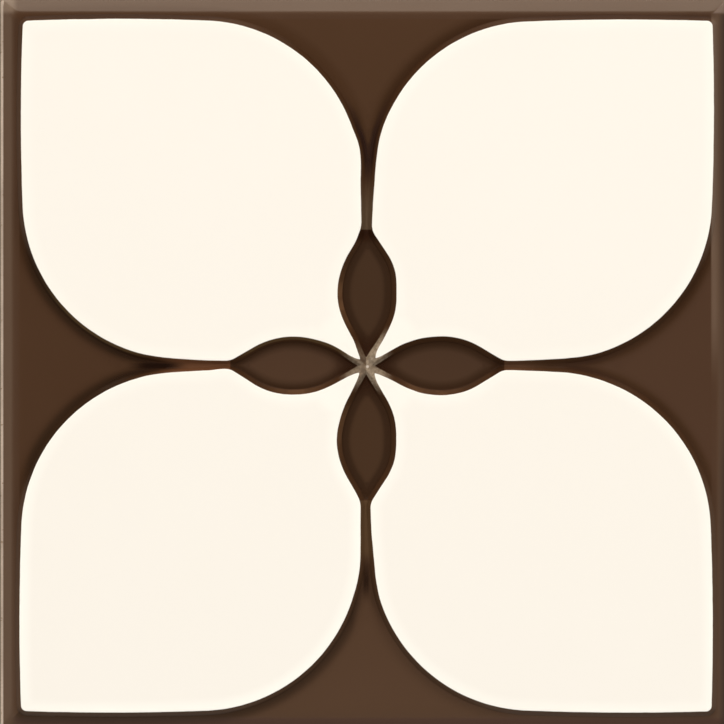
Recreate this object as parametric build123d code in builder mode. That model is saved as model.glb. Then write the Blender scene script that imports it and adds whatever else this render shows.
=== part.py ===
from build123d import *
from math import atan2, cos, radians, tan
import os

# Square floor tile pressed and fired as one piece: raised leaves with leaning walls, sunken
# lens petals round the middle, a bevelled edge and a keyed back

# Body of the tile
tile_side = 150.0
plan_corner_radius = 0.5
ground_height = 7.8

# Bevel round the upper edge, soft where it leaves the ground and eased at the arris
bevel_width = 2.4
bevel_drop = 1.3
bevel_blend_radius = 1.6
arris_radius = 0.7

# Raised leaves, one in each quarter
relief_height = 1.2
wall_lean = 40.0
foot_gap = 0.3
channel_width = 1.8
leaf_bow_shift = 14.2
leaf_point_drop = 0.46
leaf_side_drop = 2.44
leaf_round_radius = 32.7
leaf_corner_radius = 1.15
crest_radius = 0.4

# Sunken lens petals round the middle
lens_length = 29.6
lens_flank_angle = 30.0
lens_round_radius = 16.4
lens_tip_gap = 0.2
lens_extra_depth = 0.2

# Keyed back: a lattice of ribs round shallow cells inside a plain rim
cells_per_side = 8
back_rim = 8.6
rib_width = 3.2
cell_depth = 0.9
cell_draft = 20.0

# Heights and runs that follow from the sizes above
arris_height = ground_height - bevel_drop
top_height = ground_height + relief_height
ground_side = tile_side - 2 * bevel_width
bevel_blend_run = bevel_blend_radius * tan(atan2(bevel_drop, bevel_width) / 2)
wall_run = relief_height * tan(radians(wall_lean))
lens_depth = relief_height + lens_extra_depth

# Leaf: a bowed square, drawn between its two points, with its two side corners well rounded
# and its outer point eased
leaf_reach = ground_side / 2 - bevel_blend_run - foot_gap - wall_run
channel_half = channel_width / 2
leaf_middle = (leaf_reach + channel_half) / 2
inner_point = (channel_half + leaf_point_drop, channel_half + leaf_point_drop)
outer_point = (leaf_reach - leaf_point_drop, leaf_reach - leaf_point_drop)
right_corner = (leaf_reach - leaf_side_drop, channel_half + leaf_side_drop)
left_corner = (channel_half + leaf_side_drop, leaf_reach - leaf_side_drop)
inner_crown = leaf_middle - leaf_bow_shift
outer_crown = leaf_middle + leaf_bow_shift
with BuildSketch() as leaf:
    with BuildLine():
        ThreePointArc(inner_point, (inner_crown, channel_half), right_corner)
        ThreePointArc(right_corner, (leaf_reach, outer_crown), outer_point)
        ThreePointArc(outer_point, (outer_crown, leaf_reach), left_corner)
        ThreePointArc(left_corner, (channel_half, inner_crown), inner_point)
    make_face()
    fillet(leaf.vertices().sort_by_distance((0, 0))[1:3], leaf_round_radius)
    fillet(leaf.vertices().sort_by_distance((0, 0))[-1], leaf_corner_radius)

# The leaf's body: walls drafted out to the ground and an eased crest
with BuildPart() as leaf_body:
    with BuildSketch(Plane.XY.offset(ground_height)):
        add(leaf.sketch)
    extrude(amount=relief_height)
    draft(leaf_body.faces().filter_by(Axis.Z, reverse=True), Plane.XY.offset(top_height), wall_lean)
    fillet(leaf_body.edges().filter_by_position(Axis.Z, top_height, top_height), crest_radius)

# Lens petal: a long rhombus with its two wide corners rounded, pointing at the middle
lens_half = lens_length / 2
lens_middle = lens_tip_gap + lens_half
lens_spread = tan(radians(lens_flank_angle))
rhombus_half_width = lens_half * lens_spread
with BuildSketch() as lens:
    with BuildLine():
        Polyline(
            (lens_tip_gap, 0),
            (lens_middle, -rhombus_half_width),
            (lens_tip_gap + lens_length, 0),
            (lens_middle, rhombus_half_width),
            close=True,
        )
    make_face()
    fillet(lens.vertices().group_by(Axis.X)[1], lens_round_radius)

# What the lens petal presses out: walls drafted in towards its floor
with BuildPart() as lens_sink:
    with BuildSketch(Plane.XY.offset(top_height - lens_depth)):
        add(lens.sketch)
    extrude(amount=lens_depth)
    draft(lens_sink.faces().filter_by(Axis.Z, reverse=True), Plane.XY.offset(top_height), -wall_lean)

# One cell of the back, drafted so that it leaves the die
cell_pitch = (tile_side - 2 * back_rim + rib_width) / cells_per_side
cell_side = cell_pitch - rib_width
with BuildPart() as cell_sink:
    with BuildSketch():
        Rectangle(cell_side, cell_side)
    extrude(amount=cell_depth)
    draft(cell_sink.faces().filter_by(Axis.Z, reverse=True), Plane.XY, cell_draft)

# Knot that joins the four leaves, as wide as the lenses need to cut it free of the channels
lens_floor_run = lens_depth * tan(radians(wall_lean)) / cos(radians(lens_flank_angle))
knot_half = lens_tip_gap + (inner_point[0] + lens_floor_run - wall_run) / lens_spread

with BuildPart() as tile:
    # Body with its bevelled upper edge and its upright corners just rounded off
    with BuildSketch():
        Rectangle(tile_side, tile_side)
    extrude(amount=ground_height)
    ground = tile.faces().sort_by(Axis.Z)[-1]
    chamfer(ground.edges(), length=bevel_width, length2=bevel_drop, reference=ground)
    fillet(tile.edges().filter_by_position(Axis.Z, ground_height, ground_height), bevel_blend_radius)
    fillet(tile.edges().filter_by_position(Axis.Z, arris_height, arris_height), arris_radius)
    with BuildSketch():
        RectangleRounded(tile_side, tile_side, plan_corner_radius)
    extrude(amount=ground_height, mode=Mode.INTERSECT)

    # Leaves, and the knot that joins them at the middle
    with PolarLocations(0, 4):
        add(leaf_body.part)
    with BuildSketch(Plane.XY.offset(ground_height)):
        Rectangle(2 * knot_half, 2 * knot_half)
    extrude(amount=relief_height)

    # Lens petals, pressed a little below the ground
    with PolarLocations(0, 4):
        add(lens_sink.part, mode=Mode.SUBTRACT)

    # Cells of the keyed back
    with GridLocations(cell_pitch, cell_pitch, cells_per_side, cells_per_side):
        add(cell_sink.part, mode=Mode.SUBTRACT)

tile.part.label = "tile"
os.makedirs("parts", exist_ok=True)
export_step(tile.part, "parts/tile.step")
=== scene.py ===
import math

import bmesh
import bpy
import numpy as np
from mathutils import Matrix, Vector
from mathutils.geometry import delaunay_2d_cdt


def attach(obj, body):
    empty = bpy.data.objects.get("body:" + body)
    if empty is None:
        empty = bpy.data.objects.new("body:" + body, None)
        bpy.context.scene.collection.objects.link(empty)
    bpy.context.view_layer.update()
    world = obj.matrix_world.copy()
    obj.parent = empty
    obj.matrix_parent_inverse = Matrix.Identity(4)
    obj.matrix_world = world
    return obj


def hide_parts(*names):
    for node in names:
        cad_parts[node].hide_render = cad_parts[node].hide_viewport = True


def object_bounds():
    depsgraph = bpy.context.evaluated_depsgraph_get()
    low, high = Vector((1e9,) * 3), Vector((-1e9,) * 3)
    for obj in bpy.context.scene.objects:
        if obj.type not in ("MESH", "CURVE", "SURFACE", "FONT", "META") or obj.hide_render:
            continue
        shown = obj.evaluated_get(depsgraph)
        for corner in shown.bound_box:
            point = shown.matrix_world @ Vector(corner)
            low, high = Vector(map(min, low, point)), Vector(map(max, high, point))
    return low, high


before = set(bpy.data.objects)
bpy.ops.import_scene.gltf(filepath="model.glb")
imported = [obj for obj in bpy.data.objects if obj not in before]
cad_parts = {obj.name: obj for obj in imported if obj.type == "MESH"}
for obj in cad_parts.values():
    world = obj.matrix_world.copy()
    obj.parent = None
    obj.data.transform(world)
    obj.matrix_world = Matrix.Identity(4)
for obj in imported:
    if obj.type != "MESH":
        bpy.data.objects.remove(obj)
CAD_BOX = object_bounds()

# A square relief tile as one closed mesh: a face whose height follows signed distances to the
# leaves and lens petals, then the rim, the upright sides and the keyed back. One material holds
# the cream and brown glaze and the bare clay. Lengths are in millimetres until build_tile.
MM = 0.001

# Sizes of the tile

HALF_SIDE = round(CAD_BOX[1][0] / MM, 3)
TOP = round(CAD_BOX[1][2] / MM, 3)
RELIEF = 1.2
GROUND = TOP - RELIEF

PLAN_CORNER = 0.5
CORNER_SPREAD = 0.35
BEVEL_WIDTH = 2.95
BEVEL_DROP = 1.3
BEVEL_SOFT = 0.55
ARRIS_RADIUS = 0.7
FOOT_EASE = 0.35

WALL_LEAN = math.radians(40)
WALL_SLOPE = 1 / math.tan(WALL_LEAN)
CREST_SOFT = 0.2
TIP_SOFT = 0.55

# leaves, from the far right one on, counter-clockwise: each has its own outer point and nudge
CHANNEL_HALF = 0.9
LEAF_REACH = 70.87
LEAF_SHIFT = 14.2
LEAF_POINT_DROP = 0.46
OUTER_DROPS = (0.30, 0.42, 0.34, 0.26)
LEAF_SIDE_DROP = 2.44
LEAF_ROUND = 32.7
LEAF_CORNER = 1.15
LEAF_NUDGES = ((0.29, -0.01), (0.18, 0.13), (-0.10, -0.11), (0.05, -0.11))

# the lens petals round the middle, a little deeper than the ground
LENS_TIP = 0.2
LENS_LENGTH = 29.6
LENS_FLANK = math.radians(30)
LENS_ROUND = 16.4
LENS_EXTRA = 0.2

# where the pattern's middle lies, and how far the edges of the lenses and channels stray sideways:
# for each arm, right, far, left and near, on its left and its right seen from the middle, where
# along the arm an edge bends and how far it lies off there. All start straight.
PATTERN_AT = (0.15, -0.14)
STRAYS = (
    (
        ((6, 0.2), (13, 0.0), (22, 0.15), (30, 0.05), (41, 0.2), (49, 0.0)),
        ((6, 0.1), (12, 0.0), (20, -0.1), (29, 0.15), (41, 0.05), (49, 0.0)),
    ),
    (
        ((6, -0.45), (14, -0.1), (25, -0.35), (29, 0.25), (36, 0.25), (45, -0.3), (49, 0.0)),
        ((6, -0.3), (10, -0.4), (15, -0.2), (20, -0.5), (29, 0.05), (41, -0.3), (49, 0.0)),
    ),
    (
        ((10, 0.0), (15, -0.1), (20, -0.05), (29, -0.45), (33, -0.15), (41, 0.0)),
        ((6, -0.3), (11, 0.0), (25, 0.1), (33, 0.05), (41, -0.15), (49, 0.0)),
    ),
    (
        ((10, 0.35), (15, 0.15), (20, 0.35), (29, -0.1), (33, -0.05), (41, 0.3), (49, 0.0)),
        ((10, 0.15), (16, -0.05), (25, 0.1), (29, -0.1), (41, 0.15), (49, 0.0)),
    ),
)
STRAYS_FROM = (2, 0.0)
STRAY_BLEND = 2.4
STRAY_START = (0.0, 2.0)
STRAY_FADE = (6.5, 10.5)

# the knot at the middle: how it dips, and how the cream draws back from it
KNOT_HALF = 3.16
HUB_DIP = 0.42
HUB_DIP_FADE = (0.6, 2.9)
HUB_SOFT = 0.1
HUB_LEAST = 0.5
HUB_TIP = 2.2
HUB_BACK = 0.67
HUB_POWER = 1.6
HUB_LEAF_SHARE = 0.6
HUB_FADE = (7.0, 11.0)
THIN_FADE = (0.45, 1.0)
# per lens, on its left and its right seen from the middle: how far the cream draws back near the
# middle, how pale the thin glaze is there and how far out it reaches
HUB_SIDES = (
    ((0.9, 0.75, 6.5), (0.9, 0.75, 6.5)),
    ((0.6, 0.25, 6.0), (1.7, 1.0, 9.5)),
    ((0.8, 0.6, 6.5), (0.7, 0.55, 6.5)),
    ((1.3, 0.95, 7.0), (0.8, 0.5, 6.5)),
)
DRAWN_BACK, PALE, REACH = range(3)

# glaze that fills the channels near the lenses, and the sill at a lens's outer tip
FILL_RISE = 0.17
FILL_HALF = 3.0
FILL_FADE = (33.0, 46.0)
SILL_FADE = (26.6, 28.0)
SILL_SHIFT = 0.7

# cells of the keyed back
CELLS = 8
CELL_PITCH = 17.0
CELL_HALF = 6.9
CELL_DEPTH = 0.9
CELL_DRAFT = math.radians(20)
CELL_DRAFT_RUN = CELL_DEPTH * math.tan(CELL_DRAFT)
CELL_CORNER = 1.0
CELL_LIP_SOFT = 0.1
CELL_FLOOR_SOFT = 0.12

# cosine and sine of each quarter turn
QUARTERS = ((1, 0), (0, 1), (-1, 0), (0, -1))


# Outlines

def turned(x, y, quarter):
    """A point of the first quarter, taken round to another quarter."""
    c, s = QUARTERS[quarter % 4]
    return x * c - y * s, x * s + y * c


def bearing(c, p):
    return math.atan2(p[1] - c[1], p[0] - c[0])


def circle_through(p, q, r):
    (ax, ay), (bx, by), (cx, cy) = p, q, r
    d = 2 * (ax * (by - cy) + bx * (cy - ay) + cx * (ay - by))
    a2, b2, c2 = ax * ax + ay * ay, bx * bx + by * by, cx * cx + cy * cy
    ux = (a2 * (by - cy) + b2 * (cy - ay) + c2 * (ay - by)) / d
    uy = (a2 * (cx - bx) + b2 * (ax - cx) + c2 * (bx - ax)) / d
    return (ux, uy), math.hypot(ax - ux, ay - uy)


def tangent_inside(c1, r1, c2, r2, near):
    """Middle of the circle that touches two larger ones from inside, near a point."""
    (x1, y1), (x2, y2) = c1, c2
    gap = math.hypot(x2 - x1, y2 - y1)
    along = (r1 * r1 - r2 * r2 + gap * gap) / (2 * gap)
    off = math.sqrt(max(r1 * r1 - along * along, 0))
    ex, ey = (x2 - x1) / gap, (y2 - y1) / gap
    found = [(x1 + along * ex + s * off * ey, y1 + along * ey - s * off * ex) for s in (1, -1)]
    return min(found, key=lambda p: math.hypot(p[0] - near[0], p[1] - near[1]))


def leaf_arcs(outer_drop):
    """Half of a leaf's outline in the first quarter, from its inner point to its outer one.

    Each arc is its middle, its radius, and its first and last bearing.
    """
    middle = (LEAF_REACH + CHANNEL_HALF) / 2
    inner = (CHANNEL_HALF + LEAF_POINT_DROP,) * 2
    outer = (LEAF_REACH - outer_drop,) * 2
    side = (LEAF_REACH - LEAF_SIDE_DROP, CHANNEL_HALF + LEAF_SIDE_DROP)
    ca, ra = circle_through(inner, (middle - LEAF_SHIFT, CHANNEL_HALF), side)
    cb, rb = circle_through(side, (LEAF_REACH, middle + LEAF_SHIFT), outer)
    near = (LEAF_REACH - LEAF_ROUND, CHANNEL_HALF + LEAF_ROUND)
    cr = tangent_inside(ca, ra - LEAF_ROUND, cb, rb - LEAF_ROUND, near)
    cc = tangent_inside(cb, rb - LEAF_CORNER, cb[::-1], rb - LEAF_CORNER, outer)
    return (
        (ca, ra, bearing(ca, inner), bearing(ca, cr)),
        (cr, LEAF_ROUND, bearing(ca, cr), bearing(cb, cr)),
        (cb, rb, bearing(cb, cr), bearing(cb, cc)),
        (cc, LEAF_CORNER, bearing(cb, cc), math.pi / 2 - bearing(cb, cc)),
    )


LEAF_ARCS = [leaf_arcs(drop) for drop in OUTER_DROPS]


def within_turn(x, y, arc):
    """Whether points lie between an arc's two ends, seen from its middle."""
    (cx, cy), r, a0, a1 = arc
    return np.mod(np.arctan2(y - cy, x - cx) - a0, 2 * math.pi) <= a1 - a0


def arc_distance(x, y, arc):
    (cx, cy), r, a0, a1 = arc
    on = np.abs(np.hypot(x - cx, y - cy) - r)
    ends = [np.hypot(x - cx - r * math.cos(a), y - cy - r * math.sin(a)) for a in (a0, a1)]
    return np.where(within_turn(x, y, arc), on, np.minimum(*ends))


def outside_of(x, y, arc):
    (cx, cy), r = arc[:2]
    return np.hypot(x - cx, y - cy) > r


def leaf_distance(x, y, arcs):
    """Signed distance to a leaf turned into the first quarter, positive inside."""
    a, b = np.maximum(x, y), np.minimum(x, y)
    far = np.minimum.reduce([arc_distance(a, b, arc) for arc in arcs])
    out = outside_of(a, b, arcs[0]) | outside_of(a, b, arcs[2])
    for arc in (arcs[1], arcs[3]):
        out |= within_turn(a, b, arc) & outside_of(a, b, arc)
    return np.where(out, -far, far)


LENS_MIDDLE = LENS_TIP + LENS_LENGTH / 2
LENS_RISE = math.tan(LENS_FLANK)
LENS_PEAK = LENS_LENGTH / 2 * LENS_RISE - LENS_ROUND * (1 / math.cos(LENS_FLANK) - 1)
LENS_CENTRE = (LENS_MIDDLE, LENS_PEAK - LENS_ROUND)
LENS_ARC = (LENS_CENTRE, LENS_ROUND, math.pi / 2 - LENS_FLANK, math.pi / 2 + LENS_FLANK)
LENS_SPREAD = LENS_ROUND * math.sin(LENS_FLANK)
LENS_SHOULDER = LENS_CENTRE[1] + LENS_ROUND * math.cos(LENS_FLANK)


def lens_distance(x, y):
    """Signed distance to the lens petal on +X, negative inside."""
    a, b = np.abs(x - LENS_MIDDLE), np.abs(y)
    tip = LENS_LENGTH / 2
    ux, uy = tip - LENS_SPREAD, -LENS_SHOULDER
    t = ((a - LENS_SPREAD) * ux + (b - LENS_SHOULDER) * uy) / (ux * ux + uy * uy)
    t = np.clip(t, 0, 1)
    flank = np.hypot(a - LENS_SPREAD - t * ux, b - LENS_SHOULDER - t * uy)
    far = np.minimum(flank, arc_distance(a + LENS_MIDDLE, b, LENS_ARC))
    out = b > (tip - a) * LENS_RISE
    round_part = (a < LENS_SPREAD) & (b > LENS_CENTRE[1])
    out |= round_part & outside_of(a + LENS_MIDDLE, b, LENS_ARC)
    return np.where(out, far, -far)


def leaves_at(x, y):
    found = []
    for k, (nx, ny) in enumerate(LEAF_NUDGES):
        found.append(leaf_distance(*turned(x - nx, y - ny, -k), LEAF_ARCS[k]))
    return np.maximum.reduce(found)


def lenses_at(x, y):
    return np.minimum.reduce([lens_distance(*turned(x, y, -k)) for k in range(4)])


# Heights

def positive(t, soft):
    """The positive part of t, with a soft corner."""
    return np.where(t <= -soft, 0.0, np.where(t >= soft, t, (t + soft) ** 2 / (4 * soft)))


def soft_min(a, b, k):
    h = np.maximum(k - np.abs(a - b), 0) / k
    return np.minimum(a, b) - h * h * k / 4


def smoothstep(lo, hi, t):
    u = np.clip((t - lo) / (hi - lo), 0, 1)
    return u * u * (3 - 2 * u)


def bevel_drop(e):
    return BEVEL_DROP / BEVEL_WIDTH * positive(BEVEL_WIDTH - e, BEVEL_SOFT)


def crest_distance(x, y):
    """Signed distance to the edge of the raised leaves and their knot, positive on top."""
    knot = KNOT_HALF - np.maximum(np.abs(x), np.abs(y))
    return soft_min(np.maximum(leaves_at(x, y), knot), lenses_at(x, y), TIP_SOFT)


def hub_sides(x, y, which):
    """One of the numbers of HUB_SIDES at each point, from the lens side that it lies nearest to."""
    near = np.full(len(x), np.inf)
    value = np.zeros(len(x))
    for k, sides in enumerate(HUB_SIDES):
        u, v = turned(x, y, -k)
        d = lens_distance(u, v)
        value = np.where(d < near, np.where(v > 0, sides[0][which], sides[1][which]), value)
        near = np.minimum(near, d)
    return value


def cream_distance(x, y):
    """Signed distance to the cream glaze's edge: the crest, drawn back round the middle."""
    hub = np.maximum(np.hypot(x, y), HUB_LEAST)
    back = HUB_BACK * (HUB_TIP / hub) ** HUB_POWER * (1 - smoothstep(*HUB_FADE, hub))
    found = crest_distance(x, y) - HUB_LEAF_SHARE * back
    for k, sides in enumerate(HUB_SIDES):
        u, v = turned(x, y, -k)
        share = np.where(v > 0, sides[0][DRAWN_BACK], sides[1][DRAWN_BACK])
        found = np.minimum(found, lens_distance(u, v) - back * share)
    return found


def thin_glaze(x, y):
    """How thin the glaze lies on the lens walls near the middle, from 0 to 1."""
    out = np.hypot(x, y) / hub_sides(x, y, REACH)
    return hub_sides(x, y, PALE) * (1 - smoothstep(*THIN_FADE, out))


def face_height(x, y, e):
    along, across = np.maximum(np.abs(x), np.abs(y)), np.minimum(np.abs(x), np.abs(y))
    fill = FILL_RISE * (1 - smoothstep(*FILL_FADE, along)) * (across < FILL_HALF)
    tip = along - SILL_SHIFT * (x > np.abs(y))
    floor = GROUND + fill - (LENS_EXTRA + fill) * (1 - smoothstep(*SILL_FADE, tip))
    z = TOP - WALL_SLOPE * positive(-crest_distance(x, y), CREST_SOFT)
    z = np.maximum(z, floor)
    hub = TOP - HUB_DIP * (1 - smoothstep(*HUB_DIP_FADE, np.hypot(x, y)))
    return np.minimum(soft_min(z, hub, HUB_SOFT), TOP) - bevel_drop(e)


def back_height(x, y):
    reach = CELLS * CELL_PITCH / 2
    cx, cy = (np.abs(np.mod(v + reach, CELL_PITCH) - CELL_PITCH / 2) for v in (x, y))
    qx, qy = cx - (CELL_HALF - CELL_CORNER), cy - (CELL_HALF - CELL_CORNER)
    d = np.hypot(np.maximum(qx, 0), np.maximum(qy, 0))
    d = d + np.minimum(np.maximum(qx, qy), 0) - CELL_CORNER
    lip, floor = positive(-d, CELL_LIP_SOFT), positive(-d - CELL_DRAFT_RUN, CELL_FLOOR_SOFT)
    z = CELL_DEPTH / CELL_DRAFT_RUN * (lip - floor)
    inside = (np.abs(x) < reach) & (np.abs(y) < reach)
    return np.where(inside, z, 0.0)


# Points of the face and the back

ROW_STEP = 0.35
CORNER_STEP = 0.12
LEAF_FOOT = -RELIEF / WALL_SLOPE
LENS_FOOT = -(RELIEF + LENS_EXTRA) / WALL_SLOPE
# rows of points that follow the leaves and lenses, by their distance from the edge
LEAF_ROWS = (
    3.0, 1.4, 0.6, 0.25, 0.12, 0.0, -0.1, -0.2, -0.5, -0.8, LEAF_FOOT, -1.2, -1.6, -2.2, -3.0,
)
LENS_ROWS = (0.25, 0.12, 0.0, -0.1, -0.2, -0.55, -0.9, LENS_FOOT, -1.4, -1.8, -2.4, -3.2)
# a row keeps the points that lie nearest to its own edge; a leaf's stay out of the lenses, and
# those on the upper part of a lens's wall stay near the leaves
ROW_SLACK = 0.02
LEAF_ROW_LENS = -0.25
LENS_ROW_LEAF = -1.3
LENS_UPPER_WALL = -0.6
# finer points at the middle, at the lens tips and along the channels, and plain ones elsewhere
FINE_STEP = 0.17
HUB_PATCH = (-3.3, 3.3, -3.3, 3.3)
TIP_PATCH = (25.6, 31.0, -1.7, 1.7)
AXIS_RUN = (31.0, 50.0, 0.3)
PLAIN_STEP = 2.4
PLAIN_LEAF, PLAIN_LENS = 3.6, 4.0
LEAST_GAP = 0.075
BORDER_GAP = 0.1
CELL_KEY = 1_000_003
INSIDE_ONLY, CDT_EPSILON = 1, 1e-5

# loops of points round the tile
RIM_INSETS = (2.9, 2.75, 2.6, 2.45, 2.3, 2.1, 1.8, 1.4, 1.0, 0.7)
RIM_SIDE, RIM_CORNER = 144, 6
RIM_QUARTER = RIM_SIDE + RIM_CORNER
RIM_COUNT = 4 * RIM_QUARTER
ARRIS_ROWS = 8
SIDE_HEIGHTS = (5.4, 4.6, 3.8, 3.0, 2.2, 1.4, 0.8)
FOOT_ROWS = 5

# lines of the back's grid, from a cell's middle and on the rim
CELL_LINES = (0.0, 5.7, 6.3, 6.58, 6.74, 6.9, 7.08, 7.4, 8.5)
BACK_RIM_LINES = (70.5, 73.0, 74.3)


def arc_points(arc, step):
    """Points along an arc, and their outward directions."""
    (cx, cy), r, a0, a1 = arc
    n = max(3, int(math.ceil((a1 - a0) * r / step)))
    a = a0 + (a1 - a0) * (np.arange(n) + 0.5) / n
    out = np.c_[np.cos(a), np.sin(a)]
    return np.array([cx, cy]) + r * out, out


def leaf_points(arcs):
    """Points of a whole leaf's outline in the first quarter, and their outward directions."""
    parts = [arc_points(arc, ROW_STEP) for arc in arcs[:3]]
    c, r, a0, a1 = arcs[3]
    parts.append(arc_points((c, r, a0, math.pi / 4), CORNER_STEP))
    p, n = np.vstack([q[0] for q in parts]), np.vstack([q[1] for q in parts])
    return np.vstack([p, p[:, ::-1]]), np.vstack([n, n[:, ::-1]])


def lens_points():
    """Points of the outline of the lens on +X, and their outward directions."""
    p, n = arc_points(LENS_ARC, ROW_STEP)
    length = math.hypot(LENS_LENGTH / 2 - LENS_SPREAD, LENS_SHOULDER)
    t = (np.arange(int(length / ROW_STEP)) + 0.5)[:, None] / int(length / ROW_STEP)
    start = np.array([LENS_MIDDLE + LENS_SPREAD, LENS_SHOULDER])
    end = np.array([LENS_TIP + LENS_LENGTH, 0])
    flank = start + (end - start) * t
    out = np.tile([math.sin(LENS_FLANK), math.cos(LENS_FLANK)], (len(flank), 1))
    back, down = np.array([-1, 1]), np.array([1, -1])
    p = np.vstack([p, flank, flank * back + np.array([2 * LENS_MIDDLE, 0])])
    n = np.vstack([n, out, out * back])
    return np.vstack([p, p * down]), np.vstack([n, n * down])


def grid(x0, x1, y0, y1, step):
    """Points on a grid, every other row shifted by half a step."""
    xs, ys = np.arange(x0, x1 + step / 2, step), np.arange(y0, y1 + step / 2, step)
    gx, gy = np.meshgrid(xs, ys)
    gx[1::2] += step / 2
    return np.c_[gx.ravel(), gy.ravel()]


def thinned(p, gap):
    """The points without those in a cell of the grid that an earlier point has taken."""
    for shift in (0.0, 0.5):
        cell = np.floor(p / gap + shift).astype(np.int64)
        key = cell[:, 0] * CELL_KEY + cell[:, 1]
        first = np.sort(np.unique(key, return_index=True)[1])
        p = p[first]
    return p


def leaf_row_points():
    found = []
    for k, nudge in enumerate(LEAF_NUDGES):
        lp, ln = leaf_points(LEAF_ARCS[k])
        for row in LEAF_ROWS:
            p = np.c_[turned(*(lp - ln * row).T, k)] + nudge
            keep = np.abs(leaves_at(*p.T) - row) < ROW_SLACK
            found.append(p[keep & (lenses_at(*p.T) > LEAF_ROW_LENS)])
    return found


def lens_row_points():
    found = []
    sp, sn = lens_points()
    for k in range(4):
        for row in LENS_ROWS:
            p = np.c_[turned(*(sp + sn * row).T, k)]
            keep = np.abs(lenses_at(*p.T) - row) < ROW_SLACK
            if row >= LENS_UPPER_WALL:
                keep &= leaves_at(*p.T) > LENS_ROW_LEAF
            found.append(p[keep])
    return found


def face_points():
    found = leaf_row_points() + lens_row_points()
    found.append(grid(*HUB_PATCH, FINE_STEP))
    tip = grid(*TIP_PATCH, FINE_STEP)
    run = np.arange(*AXIS_RUN)
    for k in range(4):
        found += [np.c_[turned(*tip.T, k)], np.c_[turned(run, np.zeros(len(run)), k)]]
    plain = grid(-HALF_SIDE, HALF_SIDE, -HALF_SIDE, HALF_SIDE, PLAIN_STEP)
    leaf, lens = leaves_at(*plain.T), lenses_at(*plain.T)
    found.append(plain[(np.abs(leaf) > PLAIN_LEAF) & (np.abs(lens) > PLAIN_LENS)])
    p = np.vstack(found)
    p = p[np.abs(p + PATTERN_AT).max(1) < HALF_SIDE - RIM_INSETS[0] - BORDER_GAP]
    return thinned(p, LEAST_GAP)


def back_points():
    lines = {s * v for v in BACK_RIM_LINES for s in (1, -1)}
    for i in range(CELLS):
        c = (i - (CELLS - 1) / 2) * CELL_PITCH
        lines |= {round(c + s * v, 4) for v in CELL_LINES for s in (1, -1)}
    a = np.array(sorted(lines))
    gx, gy = np.meshgrid(a, a)
    return np.c_[gx.ravel(), gy.ravel()]


def rounded_square(inset):
    """A loop round the tile, counter-clockwise, with the same number of points at every inset."""
    half, r = HALF_SIDE - inset, PLAN_CORNER + CORNER_SPREAD * inset
    run = np.linspace(-(half - r), half - r, RIM_SIDE + 1)[:-1]
    turn = np.linspace(0, math.pi / 2, RIM_CORNER + 1)[:-1]
    x = np.r_[np.full(RIM_SIDE, half), half - r + r * np.cos(turn)]
    y = np.r_[run, half - r + r * np.sin(turn)]
    return np.vstack([np.c_[turned(x, y, k)] for k in range(4)])


def inset_at(x, y):
    """How far points lie inside the tile's outline, counted by the loops of rounded_square."""
    a, b = (np.abs(v) - (HALF_SIDE - PLAN_CORNER) for v in (x, y))
    flat = PLAN_CORNER - np.maximum(a, b)
    spread = 1 + CORNER_SPREAD
    p = 2 * spread ** 2 - CORNER_SPREAD ** 2
    q = spread * (a + b) - PLAN_CORNER * CORNER_SPREAD
    r = a * a + b * b - PLAN_CORNER ** 2
    bent = (np.sqrt(np.maximum(q * q - p * r, 0)) - q) / p
    return np.where(np.minimum(a, b) + spread * flat > 0, bent, flat)


def eased(bends, t):
    """Values given at places, joined smoothly, and the end ones beyond."""
    found = np.full(len(t), bends[0][1])
    for (a, v), (b, w) in zip(bends, bends[1:]):
        found += (w - v) * smoothstep(a, b, t)
    return found


def strayed(x, y):
    """Where points of the even pattern lie on the tile."""
    out = np.c_[x, y] + PATTERN_AT
    for k, sides in enumerate(STRAYS):
        u, v = turned(x, y, -k)
        left, right = (eased((STRAYS_FROM, *bends), u) for bends in sides)
        off = right + (left - right) * np.clip(v / STRAY_BLEND + 0.5, 0, 1)
        off = off * (1 - smoothstep(*STRAY_FADE, np.abs(v)))
        off = off * smoothstep(*STRAY_START, u - np.abs(v))
        out += np.c_[turned(np.zeros(len(x)), off, k)]
    return out


# The mesh

# numbers that the glaze reads, and what they are far from the pattern
FAR = {"cream": -5.0, "lens": 20.0, "edge": 10.0, "thin": 0.0}
BACK_EDGE = -30.0
WELD = 2e-6
SHARP = math.radians(40)

# the map for baking: the face, the four sides beside it and the back's quarters above it
MAP_EDGE = 0.004
FACE_MAP = 0.78
SIDE_MAP_AT, SIDE_MAP_PITCH, SIDE_MAP_WIDTH = FACE_MAP + 0.012, 0.05, 0.045
BACK_MAP_AT, BACK_MAP_PITCH, BACK_MAP_SIDE = FACE_MAP + 0.016, 0.197, 0.19


class Shape:
    """Vertices, faces, the numbers the glaze reads, and each face corner's place on the map."""

    def __init__(self):
        self.verts, self.faces, self.maps = [], [], []
        self.numbers = {name: [] for name in FAR}
        self.count = 0

    def add(self, xyz, faces, maps, **numbers):
        """numbers are arrays, or one value for all; what isn't given lies far from the pattern."""
        self.verts.append(xyz)
        self.faces += [tuple(i + self.count for i in f) for f in faces]
        self.maps += maps
        for name, far in FAR.items():
            self.numbers[name].append(np.broadcast_to(numbers.get(name, far), len(xyz)))
        self.count += len(xyz)


def filled_loop(loop, inner):
    """Triangles of a region bounded by a loop, through the inner points."""
    pts = [Vector(v) for v in np.vstack([loop, inner]).tolist()]
    out = delaunay_2d_cdt(pts, [], [list(range(len(loop)))], INSIDE_ONLY, CDT_EPSILON)
    return np.array([tuple(v) for v in out[0]]), [tuple(f) for f in out[2]]


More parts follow.
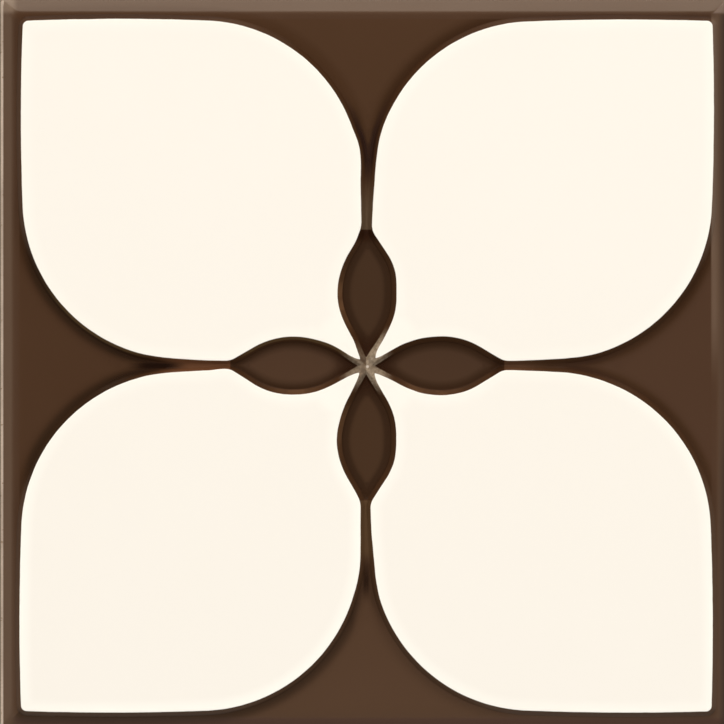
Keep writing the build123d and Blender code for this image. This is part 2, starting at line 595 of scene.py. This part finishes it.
def strip(row_count):
    """Quads between neighbouring loops, from the innermost and highest to the last."""
    faces = []
    for j in range(row_count - 1):
        upper, lower = j * RIM_COUNT, (j + 1) * RIM_COUNT
        for i in range(RIM_COUNT):
            n = (i + 1) % RIM_COUNT
            faces.append((upper + i, lower + i, lower + n, upper + n))
    return faces


def face_map(xy, faces):
    uv = MAP_EDGE + (xy + HALF_SIDE) / (2 * HALF_SIDE) * FACE_MAP
    return [[tuple(uv[i]) for i in f] for f in faces]


def side_map(row_count):
    maps = []
    for j in range(row_count - 1):
        for i in range(RIM_COUNT):
            k, s = divmod(i, RIM_QUARTER)
            corners = []
            for row, place in ((j, s), (j + 1, s), (j + 1, s + 1), (j, s + 1)):
                u = SIDE_MAP_AT + SIDE_MAP_PITCH * k + SIDE_MAP_WIDTH * row / (row_count - 1)
                corners.append((u, MAP_EDGE + FACE_MAP * place / RIM_QUARTER))
            maps.append(corners)
    return maps


def back_map(xy, faces):
    maps = []
    for f in faces:
        right, far = xy[list(f)].mean(0) > 0
        low = np.array([0.0 if right else -HALF_SIDE, 0.0 if far else -HALF_SIDE])
        at = np.array([MAP_EDGE + BACK_MAP_PITCH * (int(right) + 2 * int(far)), BACK_MAP_AT])
        maps.append([tuple(v) for v in at + (xy[list(f)] - low) / HALF_SIDE * BACK_MAP_SIDE])
    return maps


def rim_profile():
    """Rows of (inset, height, run) over the arris, down the side and under the foot.

    run is the way along the profile from the side's top, negative below it.
    """
    slope = BEVEL_DROP / BEVEL_WIDTH
    lean = math.atan(slope)
    zc = GROUND - BEVEL_DROP + slope * ARRIS_RADIUS - ARRIS_RADIUS / math.cos(lean)
    arris = []
    for t in np.linspace(0, 1, ARRIS_ROWS):
        a = (math.pi / 2 + lean) + t * (math.pi / 2 - lean)
        arris.append((ARRIS_RADIUS * (1 + math.cos(a)), zc + ARRIS_RADIUS * math.sin(a), 0.0))
    side = [(0.0, z, z - zc) for z in SIDE_HEIGHTS]
    foot = []
    for t in np.linspace(0, 1, FOOT_ROWS):
        a = math.pi + t * math.pi / 2
        inset, height = FOOT_EASE * (1 + math.cos(a)), FOOT_EASE * (1 + math.sin(a))
        foot.append((inset, height, FOOT_EASE - zc - t))
    return arris, side, foot


def add_face(shape):
    """The glazed face inside the rim."""
    border = rounded_square(RIM_INSETS[0])
    even, faces = filled_loop(border - PATTERN_AT, face_points())
    x, y = even.T
    xy = strayed(x, y)
    e = np.minimum(inset_at(*xy.T), FAR["edge"])
    shape.add(
        np.c_[xy, face_height(x, y, e)], faces, face_map(xy, faces),
        cream=cream_distance(x, y), lens=lenses_at(x, y), edge=e, thin=thin_glaze(x, y),
    )


def add_rim(shape, arris):
    """Bevel and arris."""
    loops, heights, creams = [], [], []
    for inset in RIM_INSETS:
        p = rounded_square(inset)
        x, y = (p - PATTERN_AT).T
        loops.append(p)
        heights.append(face_height(x, y, np.full(RIM_COUNT, inset)))
        creams.append(cream_distance(x, y))
    for inset, height, run in arris:
        loops.append(rounded_square(inset))
        heights.append(np.full(RIM_COUNT, height))
        creams.append(np.full(RIM_COUNT, FAR["cream"]))
    xy, faces = np.vstack(loops), strip(len(loops))
    edge = np.repeat([*RIM_INSETS, *(row[0] for row in arris)], RIM_COUNT)
    shape.add(
        np.c_[xy, np.concatenate(heights)], faces, face_map(xy, faces),
        cream=np.concatenate(creams), edge=edge,
    )


def add_sides(shape, rows):
    """Upright sides and the eased foot."""
    insets, heights, runs = zip(*rows)
    xy = np.vstack([rounded_square(inset) for inset in insets])
    shape.add(
        np.c_[xy, np.repeat(heights, RIM_COUNT)], strip(len(rows)), side_map(len(rows)),
        edge=np.repeat(runs, RIM_COUNT),
    )


def add_back(shape):
    """The keyed back."""
    xy, faces = filled_loop(rounded_square(FOOT_EASE), back_points())
    faces = [f[::-1] for f in faces]
    shape.add(np.c_[xy, back_height(*xy.T)], faces, back_map(xy, faces), edge=BACK_EDGE)


def build_tile(material):
    shape = Shape()
    arris, side, foot = rim_profile()
    add_face(shape)
    add_rim(shape, arris)
    add_sides(shape, [arris[-1]] + side + foot)
    add_back(shape)
    mesh = bpy.data.meshes.new("tile_glazed")
    mesh.from_pydata((np.vstack(shape.verts) * MM).tolist(), [], shape.faces)
    for name, values in shape.numbers.items():
        layer = mesh.attributes.new(name, "FLOAT", "POINT")
        layer.data.foreach_set("value", np.concatenate(values).astype(np.float32))
    layer = mesh.uv_layers.new(name="OFBake")
    flat = np.array([c for f in shape.maps for p in f for c in p], np.float32)
    layer.data.foreach_set("uv", flat)
    bm = bmesh.new()
    bm.from_mesh(mesh)
    bmesh.ops.remove_doubles(bm, verts=bm.verts, dist=WELD)
    bmesh.ops.delete(bm, geom=[v for v in bm.verts if not v.link_faces], context="VERTS")
    bm.to_mesh(mesh)
    bm.free()
    mesh.polygons.foreach_set("use_smooth", [True] * len(mesh.polygons))
    mesh.set_sharp_from_angle(angle=SHARP)
    mesh.materials.append(material)
    piece = bpy.data.objects.new("tile_glazed", mesh)
    bpy.context.scene.collection.objects.link(piece)
    return piece


# Materials

# sockets of a mix node that mixes colours
MIX_FACTOR, MIX_A, MIX_B, MIX_RESULT = 0, 6, 7, 2


def set_stops(ramp, stops):
    """Gives a new colour ramp its places and colours."""
    marks = ramp.color_ramp.elements
    while len(marks) < len(stops):
        marks.new(0.5)
    for mark, (place, colour) in zip(marks, stops):
        mark.position = place
        mark.color = (*colour, 1.0)


class Nodes:
    """A material's node tree, with short ways to wire numbers and colours."""

    def __init__(self, name):
        self.material = bpy.data.materials.new(name)
        self.material.use_nodes = True
        self.tree = self.material.node_tree
        self.tree.nodes.clear()
        self.shader = self.add("ShaderNodeBsdfPrincipled")
        out = self.add("ShaderNodeOutputMaterial")
        self.tree.links.new(self.shader.outputs["BSDF"], out.inputs["Surface"])
        self.place = self.add("ShaderNodeTexCoord").outputs["Object"]

    def add(self, kind, **settings):
        n = self.tree.nodes.new(kind)
        for key, value in settings.items():
            setattr(n, key, value)
        return n

    def feed(self, socket, value):
        if isinstance(value, bpy.types.NodeSocket):
            self.tree.links.new(value, socket)
        elif isinstance(value, (int, float)):
            socket.default_value = value
        else:
            socket.default_value = (*value, 1.0)[: len(socket.default_value)]

    def attribute(self, name):
        return self.add("ShaderNodeAttribute", attribute_name=name).outputs["Fac"]

    def math(self, operation, a, b=0.0, c=0.0, clamp=False):
        n = self.add("ShaderNodeMath", operation=operation, use_clamp=clamp)
        for socket, value in zip(n.inputs, (a, b, c)):
            self.feed(socket, value)
        return n.outputs[0]

    def product(self, first, *others):
        for other in others:
            first = self.math("MULTIPLY", first, other)
        return first

    def step(self, value, lo, hi, to_lo=0.0, to_hi=1.0):
        """Smoothstep of a value between lo and hi."""
        n = self.add("ShaderNodeMapRange", interpolation_type="SMOOTHSTEP")
        for socket, v in zip(n.inputs, (value, lo, hi, to_lo, to_hi)):
            self.feed(socket, v)
        return n.outputs[0]

    def mix(self, factor, a, b):
        n = self.add("ShaderNodeMix", data_type="RGBA")
        self.feed(n.inputs[MIX_FACTOR], factor)
        self.feed(n.inputs[MIX_A], a)
        self.feed(n.inputs[MIX_B], b)
        return n.outputs[MIX_RESULT]

    def ramp(self, value, stops):
        n = self.add("ShaderNodeValToRGB")
        set_stops(n, stops)
        self.feed(n.inputs[0], value)
        return n.outputs[0]

    def noise(self, size, detail):
        """Noise whose features are about size millimetres across."""
        n = self.add("ShaderNodeTexNoise")
        self.feed(n.inputs["Vector"], self.place)
        n.inputs["Scale"].default_value = 1 / (size * MM)
        n.inputs["Detail"].default_value = detail
        return n.outputs["Fac"]

    def bump(self, height, distance, strength, normal=None):
        n = self.add("ShaderNodeBump")
        n.inputs["Distance"].default_value = distance * MM
        n.inputs["Strength"].default_value = strength
        self.feed(n.inputs["Height"], height)
        if normal:
            self.feed(n.inputs["Normal"], normal)
        return n.outputs["Normal"]


# noises of the glaze and the clay: size of their features in millimetres, and detail
NOISES = {
    "broad": (28.0, 2.0), "mid": (2.6, 2.0), "fine": (0.35, 3.0), "patch": (3.0, 2.0),
    "streak": (0.7, 2.0), "wear": (14.0, 2.0), "run": (9.0, 3.0), "speck": (0.8, 1.0),
    "peel": (1.6, 1.0),
}

# A span is what it measures by, where its mask is nothing and where it is full, and how strong it
# is at both where that isn't 0 and 1. Besides the noises, it measures by
#   x, y     the place on the tile, and high, how far it lies from the X axis
#   along    how far out along an arm, and tip, the same less the right lens's extra length
#   off      how far from an arm's axis, and hip, from the far right corner's diagonal
#   edge     how far in from the tile's edge, negative down the sides
#   cream    signed distance to the cream's edge, negative on the brown
#   lens     signed distance to a lens's edge, negative inside it
CREAM = (0.872, 0.838, 0.772)
CREAM_RIM = (0.905, 0.876, 0.804)
NEAR_RIM = (0.930, 0.912, 0.842)
CREAM_CLOUD = (0.864, 0.828, 0.760)
CREAM_WAVER = 0.05
CREAM_EDGE = ("cream", -CREAM_WAVER, CREAM_WAVER)
CREAM_RIM_FADE = (3.0, 0.3)
NEAR_RIM_SPAN = ("y", 10.0, -45.0)
CREAM_CLOUD_SPAN = ("broad", 0.35, 0.7, 0.0, 0.3)

# brown glaze from the cream's edge outwards: lighter where thin on the walls, and dark at their
# feet, partly pooled glaze and partly painted shade
BROWN_REACH = 4.0
BROWN_STOPS = (
    (0.0, (0.053, 0.0235, 0.0100)),
    (0.18, (0.047, 0.0205, 0.0085)),
    (0.30, (0.036, 0.0155, 0.0065)),
    (0.48, (0.042, 0.019, 0.0080)),
    (0.75, (0.059, 0.0285, 0.0138)),
    (1.0, (0.066, 0.0325, 0.0162)),
)
# painted shade on the outer walls at the far and near edges
PAINTED_WALL_SHADE = (0.030, 0.0145, 0.010)
# painted shade beside the walls of the left and near triangles
PAINTED_DEEP_SHADE = (0.018, 0.0095, 0.0045)
NEEDLE_GLAZE = (0.012, 0.0045, 0.0020)
# painted shade at the foot of the lens walls
PAINTED_FOOT_SHADE = (0.028, 0.0130, 0.0060)
# painted light on lens walls that face the light
PAINTED_WALL_LIGHT = (0.130, 0.0640, 0.0300)
POOL_GLAZE = (0.024, 0.0088, 0.0036)

OUTER_WALL = (("edge", 6.5, 4.5), ("cream", -1.2, -0.9))
OPEN_FLOOR = (("cream", -1.6, -3.4), ("edge", 3.0, 5.0))
PAST_SILL = ("tip", 27.55, 27.85)
MOUTH = (("along", 57.0, 46.0), ("cream", -2.3, -1.35), ("cream", -0.25, -0.9))
NEEDLE = (("along", 49.5, 44.5), ("off", 0.9, 0.25))
IN_LENS = ("tip", 27.6, 27.3)
LENS_FLOOR = (("lens", -1.2, -2.4), IN_LENS)
FOOT_SHADE = ("hollow", ("lens", -0.95, -1.1), IN_LENS)
# how the painted shade at a lens wall's foot fades inwards, more firmly in the far and near lenses
FOOT_SHADE_FADE = ("lens", -3.5, -1.4)
FIRM_FOOT_SHADE_FADE = ("lens", -3.1, -2.1)
LIT_WALL = (
    ("lens", -1.1, -0.9), ("along", 21.5, 14.5), ("along", 6.0, 11.0),
    ("patch", 0.36, 0.6, 0.45, 1.0),
)
SILL = (("tip", 24.5, 26.5), ("tip", 27.85, 27.6))

# tints of the brown glaze, each laid over the ones before: its colour, its strength, and the spans
# and the named arms or sides that it keeps to
BROWN_LAYERS = (
    # clouds and specks all over
    ((0.076, 0.038, 0.0195), 0.3, ("broad", 0.3, 0.75)),
    ((0.030, 0.015, 0.008), 0.12, ("fine", 0.6, 0.8)),
    # round the rim: the strip at the leaves' feet, the outer walls with painted shade at the far
    # and near edges, painted light along the right edge, then the bevel
    (
        (0.070, 0.037, 0.0215), 1.0,
        ("edge", 4.4, 3.9), ("cream", -0.9, -1.1), ("y", -60.0, -72.0, 0.6, 0.1),
    ),
    ((0.098, 0.055, 0.031), 0.25, *OUTER_WALL, ("y", 71.4, 70.4)),
    (PAINTED_WALL_SHADE, 0.3, *OUTER_WALL, ("y", 70.4, 71.2)),
    (PAINTED_WALL_SHADE, 0.6, *OUTER_WALL, ("y", -70.2, -70.9)),
    # painted light along the right edge, over the outer walls, the strip and the bevel's inner part
    (
        (0.150, 0.098, 0.066), 0.8,
        ("x", 70.6, 71.0), ("y", -6.0, 12.0), ("y", 73.0, 70.0), ("edge", 1.6, 4.0),
    ),
    ((0.105, 0.060, 0.034), 0.45, ("edge", 3.4, 2.3)),
    # paler towards the near side, a redder near bevel, painted shade on the right bevel, and a
    # painted reflection of the far bevel's light band at the two far corners
    ((0.092, 0.053, 0.032), 0.55, ("y", -15.0, -75.0)),
    ((0.062, 0.0240, 0.0165), 0.55, ("y", -71.8, -72.8), ("x", -73.0, -71.0)),
    # painted shade on the right bevel
    (
        (0.036, 0.021, 0.0145), 1.0,
        ("x", 72.0, 73.6), ("high", 8.0, 25.0, 0.3, 0.8), ("y", 72.3, 71.5),
    ),
    # painted reflection: the far bevel's light band carried round the far right corner
    ((0.165, 0.115, 0.087), 0.85, ("y", 71.8, 72.4), ("hip", -1.2, -0.65)),
    # painted highlight where the far and left bevels meet at the far left corner
    ((0.185, 0.130, 0.090), 0.9, ("x", -71.0, -72.8), ("y", 71.6, 72.9)),
    # triangles: lighter beside the far one's left wall, the side the light falls on, painted shade
    # on the left one's walls and a darker floor there, the right one's floor, painted shade beside
    # the near one's left wall, and the top of the left one's far wall
    # lighter beside the far triangle's left wall, the side the light falls on
    (
        (0.064, 0.0300, 0.0140), 0.6, "far arm", "left side",
        ("cream", -0.85, -1.1), ("cream", -3.5, -2.0), ("along", 46.0, 54.0),
    ),
    # painted shade on the left triangle's walls and the floor beside them
    (PAINTED_DEEP_SHADE, 0.6, "left arm", ("cream", -3.4, -1.2), ("along", 45.0, 52.0), ("edge", 4.0, 7.0)),
    ((0.070, 0.0365, 0.0225), 0.5, "right arm", *OPEN_FLOOR),
    ((0.051, 0.0240, 0.0118), 0.35, "left arm", *OPEN_FLOOR),
    # painted shade beside the near triangle's left wall
    (
        PAINTED_DEEP_SHADE, 0.5, "near arm", "left side",
        ("cream", -3.4, -1.4), ("cream", -0.5, -1.0), ("along", 42.0, 48.0),
    ),
    (
        (0.105, 0.0620, 0.0270), 0.7, "left arm", "far side",
        ("cream", -0.75, -0.45), ("along", 68.0, 60.0),
    ),
    # channels, each with its own tint
    ((0.112, 0.0470, 0.0215), 1.0, "left arm", ("along", 45.0, 37.0), PAST_SILL),
    ((0.084, 0.0466, 0.0220), 0.85, "near arm", ("along", 41.0, 37.5), PAST_SILL),
    ((0.088, 0.0560, 0.0320), 0.9, "far arm", ("along", 40.0, 30.0), PAST_SILL),
    ((0.098, 0.0465, 0.0240), 0.8, "right arm", ("along", 38.0, 30.0), PAST_SILL),
    # dark pools in the channels' mouths, and a needle along the middle of two of them
    ((0.014, 0.0060, 0.0030), 0.6, "left arm", *MOUTH, ("along", 36.0, 43.0)),
    ((0.016, 0.0068, 0.0052), 0.75, "far arm", *MOUTH, ("along", 35.5, 42.5)),
    ((0.012, 0.0045, 0.0020), 0.3, "near arm", *MOUTH, ("along", 38.0, 45.0)),
    ((0.030, 0.0125, 0.0075), 0.4, "right arm", *MOUTH, ("along", 36.0, 43.0)),
    (NEEDLE_GLAZE, 1.0, "left arm", *NEEDLE, ("along", 35.5, 41.5)),
    (NEEDLE_GLAZE, 0.75, "near arm", *NEEDLE, ("along", 38.5, 44.5)),
    # lens petals: their floors, painted shade in the hollows at the walls' feet, and painted light
    # on the walls that face the light
    ((0.044, 0.0235, 0.0125), 0.6, "far arm", *LENS_FLOOR),
    ((0.054, 0.0300, 0.0165), 0.4, "right arm", *LENS_FLOOR),
    ((0.050, 0.0265, 0.0135), 0.5, "near arm", *LENS_FLOOR),
    ((0.076, 0.0410, 0.0240), 0.6, "left arm", *LENS_FLOOR),
    (PAINTED_FOOT_SHADE, 0.55, "across", *FOOT_SHADE),
    (PAINTED_FOOT_SHADE, 0.70, "upright", *FOOT_SHADE),
    # painted light on the left walls of the far and near lenses and the near walls of the others
    (PAINTED_WALL_LIGHT, 1.0, "upright", "left side", *LIT_WALL, ("y", 0.0, 4.0, 0.55, 0.85)),
    (PAINTED_WALL_LIGHT, 0.55, "across", "near side", *LIT_WALL),
    # pools at the lenses' outer tips and inner ends, and thin glaze on their walls at the middle
    (POOL_GLAZE, 0.95, "far arm", *SILL),
    (POOL_GLAZE, 0.6, "right arm", *SILL),
    (POOL_GLAZE, 0.1, "left arm", *SILL),
    (POOL_GLAZE, 0.1, "near arm", *SILL),
    (POOL_GLAZE, 0.85, ("lens", -0.6, -0.9), ("along", 8.0, 3.0)),
    ((0.30, 0.235, 0.165), 1.0, "thin", ("streak", 0.35, 0.62, 0.62, 1.0), ("lens", -0.84, -0.64)),
)
SIDE_FADE = (1.0, 3.0)
DIAGONAL_FADE = (-0.2, 0.2)

# a painted glint in the dip at the middle
PAINTED_GLINT = (0.62, 0.54, 0.46)
GLINT_AT = (0.41, -0.30)
GLINT_FADE = (0.42, 0.12, 0.0, 0.85)

# bare clay: a painted highlight along the left arris, drawn as worn glaze that shows the clay, and
# the sides below an uneven line of glaze
BISCUIT = (0.56, 0.46, 0.375)
BISCUIT_GRAIN = (0.50, 0.405, 0.325)
BISCUIT_SPECK = (0.34, 0.25, 0.18)
GRAIN_SPAN = ("fine", 0.35, 0.7)
SPECK_SPAN = ("speck", 0.68, 0.74)
ARRIS_HIGHLIGHT_LINE = (
    ("edge", 0.12, 0.40), ("edge", 0.92, 0.64), ("x", -74.0, -74.2),
    ("wear", 0.35, 0.65, 0.70, 0.94),
)
GLAZE_RUN = 1.5
GLAZE_END = (-2.2, -2.5)

# gloss, weaker on the thinly glazed walls and gone on the clay, and small unevenness
GLAZE_IOR = 1.5
LEAF_WALL = ("cream", -1.25, -1.05)
LENS_WALL_BAND = (("lens", -1.4, -1.2), ("lens", 0.0, -0.1))
OFF_CREAM = ("cream", 0.0, -0.1)
ROUGH_SPAN = ("broad", 0.3, 0.7, 0.13, 0.18)
ROUGH_FINE = 0.04
ROUGH_BROWN = ("cream", 0.1, -0.1, 0.0, 0.03)
ROUGH_CLAY = 0.6
SPECULAR, SPECULAR_LOSS = 0.5, 0.4
PEEL_BUMP = (0.02, 0.25)
GRAIN_BUMP = (0.12, 0.5)


class Glaze(Nodes):
    """The tile's material: what its spans measure by, and masks from spans and names."""

    def __init__(self, name):
        super().__init__(name)
        split = self.add("ShaderNodeSeparateXYZ")
        self.feed(split.inputs[0], self.place)
        x, y = (self.math("MULTIPLY", v, 1 / MM) for v in split.outputs[:2])
        wide, high = self.math("ABSOLUTE", x), self.math("ABSOLUTE", y)
        along = self.math("MAXIMUM", wide, high)
        off = [self.math("SUBTRACT", v, c) for v, c in zip((x, y), PATTERN_AT)]
        off = [self.math("ABSOLUTE", v) for v in off]
        self.measures = {kind: self.noise(*settings) for kind, settings in NOISES.items()}
        waver = self.math("MULTIPLY_ADD", self.measures["mid"], 2 * CREAM_WAVER, -CREAM_WAVER)
        self.measures |= {
            "x": x, "y": y, "high": high, "along": along,
            "off": self.math("MINIMUM", *off),
            "hip": self.math("SUBTRACT", x, y),
            "cream": self.math("ADD", self.attribute("cream"), waver),
            "lens": self.attribute("lens"),
            "edge": self.attribute("edge"),
        }
        upright = self.step(self.math("SUBTRACT", high, wide), *DIAGONAL_FADE)
        across = self.math("SUBTRACT", 1.0, upright)
        self.masks = {"upright": upright, "across": across, "thin": self.attribute("thin")}
        for way, value, sign, lie in (
            ("right", x, 1, across), ("far", y, 1, upright),
            ("left", x, -1, across), ("near", y, -1, upright),
        ):
            side = self.step(value, *(sign * v for v in SIDE_FADE))
            self.masks[way + " side"] = side
            self.masks[way + " arm"] = self.product(side, lie)
        tip = self.math("MULTIPLY_ADD", self.masks["right arm"], -SILL_SHIFT, along)
        self.measures["tip"] = tip
        firm = self.product(self.mask(FIRM_FOOT_SHADE_FADE), upright)
        self.masks["hollow"] = self.math("MAXIMUM", self.mask(FOOT_SHADE_FADE), firm)

    def mask(self, part):
        """The mask that a span or a name stands for."""
        if isinstance(part, str):
            return self.masks[part]
        measure, *span = part
        return self.step(self.measures[measure], *span)

    def masked(self, *parts):
        return self.product(*(self.mask(part) for part in parts))


def cream_glaze(m):
    """Cream glaze, paler in a band along its edge, more so towards the near side."""
    rim = m.mix(m.mask(NEAR_RIM_SPAN), CREAM_RIM, NEAR_RIM)
    colour = m.mix(m.step(m.attribute("cream"), *CREAM_RIM_FADE), CREAM, rim)
    return m.mix(m.mask(CREAM_CLOUD_SPAN), colour, CREAM_CLOUD)


def brown_glaze(m):
    """Brown glaze, with its tints laid over each other."""
    out = m.math("MULTIPLY", m.measures["cream"], -1.0)
    brown = m.ramp(m.math("DIVIDE", out, BROWN_REACH, clamp=True), BROWN_STOPS)
    for colour, strength, *parts in BROWN_LAYERS:
        brown = m.mix(m.product(m.masked(*parts), strength), brown, colour)
    return brown


def with_glint(m, colour):
    """A colour with the painted glint at the middle."""
    off = [m.math("SUBTRACT", m.measures[axis], c) for axis, c in zip("xy", GLINT_AT)]
    away = m.math("SQRT", m.math("ADD", *(m.product(v, v) for v in off)))
    return m.mix(m.step(away, *GLINT_FADE), colour, PAINTED_GLINT)


def clay_and_highlight(m):
    """Where the clay is bare, with the painted highlight along the left arris, and its colour."""
    run = m.math("MULTIPLY_ADD", m.measures["run"], 2 * GLAZE_RUN, -GLAZE_RUN)
    skirt = m.math("ADD", m.measures["edge"], run)
    bare_and_highlight = m.math("MAXIMUM", m.masked(*ARRIS_HIGHLIGHT_LINE), m.step(skirt, *GLAZE_END))
    clay = m.mix(m.mask(GRAIN_SPAN), BISCUIT, BISCUIT_GRAIN)
    return bare_and_highlight, m.mix(m.mask(SPECK_SPAN), clay, BISCUIT_SPECK)


def tile_material():
    m = Glaze("tile_glaze")
    bare_and_highlight, clay = clay_and_highlight(m)
    glaze = with_glint(m, m.mix(m.mask(CREAM_EDGE), brown_glaze(m), cream_glaze(m)))
    m.feed(m.shader.inputs["Base Color"], m.mix(bare_and_highlight, glaze, clay))

    rough = m.math("MULTIPLY_ADD", m.measures["fine"], ROUGH_FINE, m.mask(ROUGH_SPAN))
    rough = m.math("ADD", rough, m.mask(ROUGH_BROWN))
    rough = m.math("MULTIPLY_ADD", bare_and_highlight, ROUGH_CLAY, rough, clamp=True)
    m.feed(m.shader.inputs["Roughness"], rough)

    wall = m.math("MAXIMUM", m.mask(LEAF_WALL), m.masked(*LENS_WALL_BAND))
    wall = m.product(m.math("MAXIMUM", wall, m.masked(*SILL)), m.mask(OFF_CREAM))
    dull = m.math("MAXIMUM", wall, bare_and_highlight)
    specular = m.math("MULTIPLY_ADD", dull, -SPECULAR_LOSS, SPECULAR)
    m.feed(m.shader.inputs["Specular IOR Level"], specular)
    m.shader.inputs["IOR"].default_value = GLAZE_IOR

    peel = m.bump(m.measures["peel"], *PEEL_BUMP)
    grain = m.product(m.measures["fine"], bare_and_highlight)
    m.feed(m.shader.inputs["Normal"], m.bump(grain, *GRAIN_BUMP, peel))
    return m.material


FLOOR_CLOUD = (180.0, 2.0)
FLOOR_COLOURS = (0.70, 0.69, 0.67), (0.74, 0.73, 0.71)
FLOOR_ROUGH = (0.3, 0.7, 0.55, 0.65)


def floor_material():
    m = Nodes("studio_floor")
    soft = m.noise(*FLOOR_CLOUD)
    m.feed(m.shader.inputs["Base Color"], m.mix(soft, *FLOOR_COLOURS))
    m.feed(m.shader.inputs["Roughness"], m.step(soft, *FLOOR_ROUGH))
    return m.material


# Studio, in metres and degrees

FLOOR_SIDE = 5.0
FLOOR_CELLS = 16
LIGHT_DISTANCE = 2.4
WARM, AMBER, PLAIN = (1.0, 0.86, 0.71), (1.0, 0.80, 0.58), (1.0, 1.0, 1.0)
# name, azimuth from +X towards +Y, elevation, width, height, radiance, colour, and whether the
# glaze mirrors it
LIGHTS = (
    ("north_panel", 90, 26, 3.0, 1.7, 2.35, WARM, True),
    ("north_east_key", 47, 58, 1.0, 1.3, 6.6, PLAIN, False),
    ("north_west_panel", 135, 48, 1.2, 1.0, 1.7, PLAIN, False),
    ("west_panel", 180, 33, 2.2, 0.8, 0.75, AMBER, True),
    ("south_west_fill", 212, 56, 1.4, 1.2, 2.3, PLAIN, False),
    ("south_east_fill", -45, 58, 1.2, 1.1, 2.5, PLAIN, False),
)
# the room's brightness, from the horizon up to straight overhead
WORLD_STOPS = ((0.0, (0.30, 0.29, 0.27)), (0.7, (0.22, 0.215, 0.205)), (0.97, (0.03, 0.03, 0.03)))

IMAGE_SIDE = 724
PIXEL = 0.2047 * MM
CAMERA_HEIGHT = 3.0
CAMERA_AT = (-3.5 * PIXEL, 3.1 * PIXEL)
SENSOR = 36.0
CLIP_START, CLIP_END = 0.05, 30.0


def build_floor():
    n = FLOOR_CELLS
    ticks = [i * FLOOR_SIDE / n - FLOOR_SIDE / 2 for i in range(n + 1)]
    verts = [(x, y, 0.0) for y in ticks for x in ticks]
    faces = []
    for j in range(n):
        for i in range(n):
            a, b = j * (n + 1) + i, (j + 1) * (n + 1) + i
            faces.append((a, a + 1, b + 1, b))
    mesh = bpy.data.meshes.new("studio_floor")
    mesh.from_pydata(verts, [], faces)
    mesh.materials.append(floor_material())
    floor = bpy.data.objects.new("studio_floor", mesh)
    bpy.context.scene.collection.objects.link(floor)


def softbox(name, azimuth, elevation, width, height, radiance, colour, mirrored):
    """A rectangular light that looks at the tile."""
    light = bpy.data.lights.new(name, "AREA")
    light.shape = "RECTANGLE"
    light.size, light.size_y = width, height
    light.energy = radiance * width * height * math.pi
    light.color = colour
    lamp = bpy.data.objects.new(name, light)
    az, el = math.radians(azimuth), math.radians(elevation)
    way = Vector((math.cos(el) * math.cos(az), math.cos(el) * math.sin(az), math.sin(el)))
    lamp.location = way * LIGHT_DISTANCE
    lamp.rotation_euler = way.to_track_quat("Z", "Y").to_euler()
    lamp.visible_camera, lamp.visible_glossy = False, mirrored
    bpy.context.scene.collection.objects.link(lamp)


def build_world():
    world = bpy.data.worlds.new("studio")
    world.use_nodes = True
    tree = world.node_tree
    tree.nodes.clear()
    way = tree.nodes.new("ShaderNodeTexCoord")
    split = tree.nodes.new("ShaderNodeSeparateXYZ")
    ramp = tree.nodes.new("ShaderNodeValToRGB")
    back = tree.nodes.new("ShaderNodeBackground")
    out = tree.nodes.new("ShaderNodeOutputWorld")
    set_stops(ramp, WORLD_STOPS)
    tree.links.new(way.outputs["Generated"], split.inputs[0])
    tree.links.new(split.outputs[2], ramp.inputs[0])
    tree.links.new(ramp.outputs[0], back.inputs["Color"])
    tree.links.new(back.outputs[0], out.inputs["Surface"])
    bpy.context.scene.world = world


def build_studio():
    build_world()
    for light in LIGHTS:
        softbox(*light)
    settings = bpy.context.scene.view_settings
    settings.view_transform = "Standard"
    settings.look = "None"


def build_camera():
    """A camera square above the tile, whose picture has PIXEL-sized pixels on the tile's top."""
    data = bpy.data.cameras.new("camera")
    data.sensor_width = SENSOR
    data.lens = SENSOR * (CAMERA_HEIGHT - TOP * MM) / (IMAGE_SIDE * PIXEL)
    data.clip_start, data.clip_end = CLIP_START, CLIP_END
    camera = bpy.data.objects.new("camera", data)
    camera.location = (*CAMERA_AT, CAMERA_HEIGHT)
    bpy.context.scene.collection.objects.link(camera)
    bpy.context.scene.camera = camera


build_camera()
build_studio()
build_floor()
tile = build_tile(tile_material())
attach(tile, "root")
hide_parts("tile")
